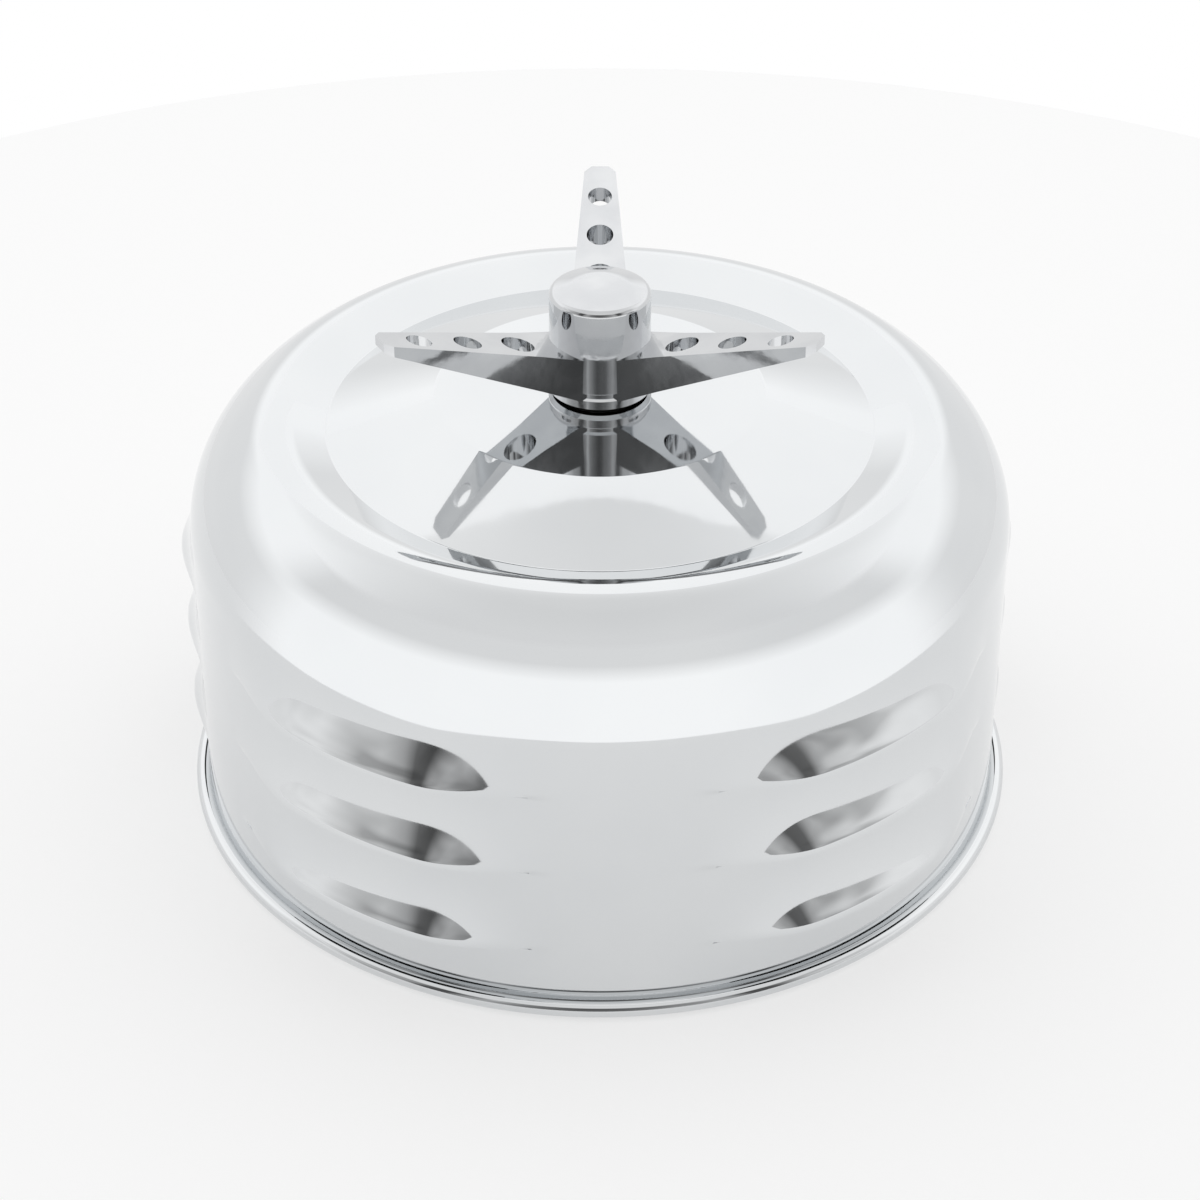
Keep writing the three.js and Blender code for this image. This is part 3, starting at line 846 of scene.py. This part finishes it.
# The same for the room, by the cosine of the angle from the front.
ROOM_REACH = ((-1, 0), (-0.1, 0), (0.35, 1), (1, 1))
ROOM = (
    (-1, 1.0), (0.1, 0.95), (0.3, 0.85), (0.42, 0.7), (0.58, 0.55), (0.66, 0.36),
    (0.71, 0.12), (0.78, 0.1), (0.83, 0.38), (0.88, 0.55), (1, 0.12),
)
MOTTLE_SCALE = 3.5
MOTTLE_DETAIL = 0.5
MOTTLE_DISTORTION = 0.6
MOTTLE_TONES = (0.75, 1.25)

# The strip and the panel, in metres and degrees, with their brightnesses.
STRIP_R = 0.09
STRIP_LOW = 0.0567
STRIP_HIGH = 0.106
STRIP_FADE = 0.008
STRIP_HALF_ANGLE = 72
STRIP_TONES = (1.25, 0.93)
STRIP_CHANGE = (0.080, 0.088)
STRIP_ENDS = (0.07, 0.085)
PANEL_Z = 0.3
PANEL_FRONT = 0.056
PANEL_CURVE = 3.3
PANEL_BACK = 0.4
PANEL_HALF_WIDTH = 0.35
PANEL_TONE = 1.2


def light_strip():
    """A white band round the front of the cover, near it, which only reflections see.

    It is brighter low down, and clears towards its upper edge and its two ends.
    """
    material = new_material("light_strip", (0, 0, 0), 0, 1)[0]
    tree = material.node_tree
    place = tree.nodes.new("ShaderNodeTexCoord")
    axes = tree.nodes.new("ShaderNodeSeparateXYZ")
    tree.links.new(place.outputs["Object"], axes.inputs["Vector"])
    aside = tree.nodes.new("ShaderNodeMath")
    aside.operation = "ABSOLUTE"
    tree.links.new(axes.outputs["X"], aside.inputs[0])
    upper_edge = (STRIP_HIGH - STRIP_FADE, STRIP_HIGH)
    clearer = tree.nodes.new("ShaderNodeMath")
    clearer.operation = "MAXIMUM"
    ends_fade = map_range(tree, aside.outputs["Value"], STRIP_ENDS, interpolation="SMOOTHSTEP")
    upper_fade = map_range(tree, axes.outputs["Z"], upper_edge, interpolation="SMOOTHSTEP")
    tree.links.new(ends_fade, clearer.inputs[0])
    tree.links.new(upper_fade, clearer.inputs[1])
    glow = tree.nodes.new("ShaderNodeEmission")
    tone = map_range(tree, axes.outputs["Z"], STRIP_CHANGE, STRIP_TONES)
    tree.links.new(tone, glow.inputs["Strength"])
    clear = tree.nodes.new("ShaderNodeBsdfTransparent")
    choose = tree.nodes.new("ShaderNodeMixShader")
    tree.links.new(clearer.outputs["Value"], choose.inputs["Fac"])
    tree.links.new(glow.outputs["Emission"], choose.inputs[1])
    tree.links.new(clear.outputs["BSDF"], choose.inputs[2])
    tree.links.new(choose.outputs["Shader"], tree.nodes["Material Output"].inputs["Surface"])
    columns = 64
    vertices = []
    for i in range(columns + 1):
        azimuth = math.radians(STRIP_HALF_ANGLE * (2 * i / columns - 1))
        vertices += [around(STRIP_R / MM, azimuth, z / MM) for z in (STRIP_LOW, STRIP_HIGH)]
    only_in_reflections(mesh_object("light_strip", vertices, ribbon_faces(columns), material))


def overhead_panel():
    """A white panel over the back half, which the back of the lid and the tops of the arms reflect."""
    material, shader = new_material("overhead_panel", (0, 0, 0), 0, 1)
    shader.inputs["Emission Color"].default_value = (1, 1, 1, 1)
    shader.inputs["Emission Strength"].default_value = PANEL_TONE
    columns = 48
    vertices = []
    for i in range(columns + 1):
        x = PANEL_HALF_WIDTH * (2 * i / columns - 1)
        near = min(PANEL_FRONT + PANEL_CURVE * x ** 2, PANEL_BACK - 0.01)
        vertices += [(x / MM, y / MM, PANEL_Z / MM) for y in (near, PANEL_BACK)]
    only_in_reflections(mesh_object("overhead_panel", vertices, ribbon_faces(columns), material))


def only_in_reflections(obj):
    """Hides a light from the camera, and keeps it from casting shadows or lighting matt surfaces."""
    obj.visible_camera = False
    obj.visible_shadow = False
    obj.visible_diffuse = False


def value_ramp(tree, factor, stops):
    """A gray ramp over a value from -1 to 1. Each stop is a place and a brightness."""
    ramp = tree.nodes.new("ShaderNodeValToRGB")
    elements = ramp.color_ramp.elements
    while len(elements) > 1:
        elements.remove(elements[-1])
    for i, (place, value) in enumerate(stops):
        position = (place + 1) / 2
        element = elements[0] if i == 0 else elements.new(position)
        element.position = position
        element.color = (value, value, value, 1)
    tree.links.new(factor, ramp.inputs["Fac"])
    return ramp.outputs["Color"]


def by_elevation(bands):
    """Stops over the sine of the elevation."""
    return [(math.sin(math.radians(elevation)), value) for elevation, value in bands]


def half_range(tree, socket):
    """A value from -1 to 1 brought to 0 to 1."""
    return map_range(tree, socket, (-1, 1))


def vector_math(tree, operation, first):
    """A vector math node with its first input linked."""
    node = tree.nodes.new("ShaderNodeVectorMath")
    node.operation = operation
    tree.links.new(first, node.inputs[0])
    return node


def mix_colors(tree, factor, first, second):
    """The first color where the factor is 0, and the second where it is 1."""
    node = tree.nodes.new("ShaderNodeMix")
    node.data_type = "RGBA"
    colors = [socket for socket in node.inputs if socket.type == "RGBA"]
    tree.links.new(factor, node.inputs[0])
    tree.links.new(first, colors[0])
    tree.links.new(second, colors[1])
    return [socket for socket in node.outputs if socket.type == "RGBA"][0]


def sideways_angle(tree, axes):
    """How far a direction points to the front, level with the floor: from 0 at the back to 1."""
    level = tree.nodes.new("ShaderNodeCombineXYZ")
    tree.links.new(axes.outputs["X"], level.inputs["X"])
    tree.links.new(axes.outputs["Y"], level.inputs["Y"])
    heading = vector_math(tree, "NORMALIZE", level.outputs["Vector"])
    towards = vector_math(tree, "DOT_PRODUCT", heading.outputs["Vector"])
    towards.inputs[1].default_value = (0, -1, 0)
    return half_range(tree, towards.outputs["Value"])


def mottled_room(tree, place, front):
    """The room's brightness round the part, broken up by soft shapes."""
    shapes = tree.nodes.new("ShaderNodeTexNoise")
    shapes.inputs["Scale"].default_value = MOTTLE_SCALE
    shapes.inputs["Detail"].default_value = MOTTLE_DETAIL
    shapes.inputs["Distortion"].default_value = MOTTLE_DISTORTION
    tree.links.new(place.outputs["Generated"], shapes.inputs["Vector"])
    mottle = map_range(tree, shapes.outputs["Fac"], NOISE_RANGE, MOTTLE_TONES)
    mottled = vector_math(tree, "SCALE", value_ramp(tree, front, ROOM))
    tree.links.new(mottle, mottled.inputs["Scale"])
    return mottled.outputs["Vector"]


def world():
    """A white studio with a darker room round its front, up to about 40 degrees.

    The camera itself sees plain white.
    """
    surroundings = bpy.data.worlds.new("studio")
    bpy.context.scene.world = surroundings
    surroundings.use_nodes = True
    tree = surroundings.node_tree
    tree.nodes.clear()
    place = tree.nodes.new("ShaderNodeTexCoord")
    axes = tree.nodes.new("ShaderNodeSeparateXYZ")
    tree.links.new(place.outputs["Generated"], axes.inputs["Vector"])
    height = half_range(tree, axes.outputs["Z"])
    front = sideways_angle(tree, axes)

    behind = map_range(tree, axes.outputs["Y"], SKY_CHANGE, interpolation="SMOOTHSTEP")
    sky_front = value_ramp(tree, height, by_elevation(SKY_FRONT))
    sky_back = value_ramp(tree, height, by_elevation(SKY_BACK))
    sky = mix_colors(tree, behind, sky_front, sky_back)
    band = value_ramp(tree, height, by_elevation(ROOM_BAND))
    cover = vector_math(tree, "MULTIPLY", band)
    tree.links.new(value_ramp(tree, front, ROOM_REACH), cover.inputs[1])
    room = mottled_room(tree, place, front)
    surround = mix_colors(tree, cover.outputs["Vector"], sky, room)

    lit = tree.nodes.new("ShaderNodeBackground")
    tree.links.new(surround, lit.inputs["Color"])
    seen = tree.nodes.new("ShaderNodeBackground")
    seen.inputs["Color"].default_value = (1, 1, 1, 1)
    path = tree.nodes.new("ShaderNodeLightPath")
    choose = tree.nodes.new("ShaderNodeMixShader")
    tree.links.new(path.outputs["Is Camera Ray"], choose.inputs["Fac"])
    tree.links.new(lit.outputs["Background"], choose.inputs[1])
    tree.links.new(seen.outputs["Background"], choose.inputs[2])
    out = tree.nodes.new("ShaderNodeOutputWorld")
    tree.links.new(choose.outputs["Shader"], out.inputs["Surface"])


# ---------------------------------------------------------------- assembly

camera()
floor()
light_strip()
overhead_panel()
world()
bpy.context.scene.view_settings.view_transform = "Standard"

louvered_cover()
base_pan()
spinner_nut()
threaded_stud()
hex_nut("stud_nut_below", "stud_nut_lower", "base")
hex_nut("stud_nut_above", "stud_nut_upper", "base")
filter_seal("filter_ring_top", "filter_top_seal")
filter_seal("filter_ring_bottom", "filter_bottom_seal")
filter_media()
expanded_screen("screen_outside", "filter_outer_screen", FILTER_OUTER_R - SCREEN_WALL, 88)
expanded_screen("screen_inside", "filter_inner_screen", FILTER_INNER_R + 0.05, 64)
finish_cad_piece("neck_collar", SHEET_ZINC)
finish_cad_piece("neck_clamp_band", SHEET_ZINC)
finish_cad_piece("stud_bridge", SHEET_ZINC)
for name in (
    "bridge_rivet_left",
    "bridge_rivet_right",
    "stud_lock_washer",
    "clamp_screw",
    "clamp_nut",
):
    finish_cad_piece(name, HARDWARE)
for name in ("neck_seal", "spinner_washer"):
    finish_cad_piece(name, RUBBER)
finish_cad_piece("threaded_insert", BRASS)
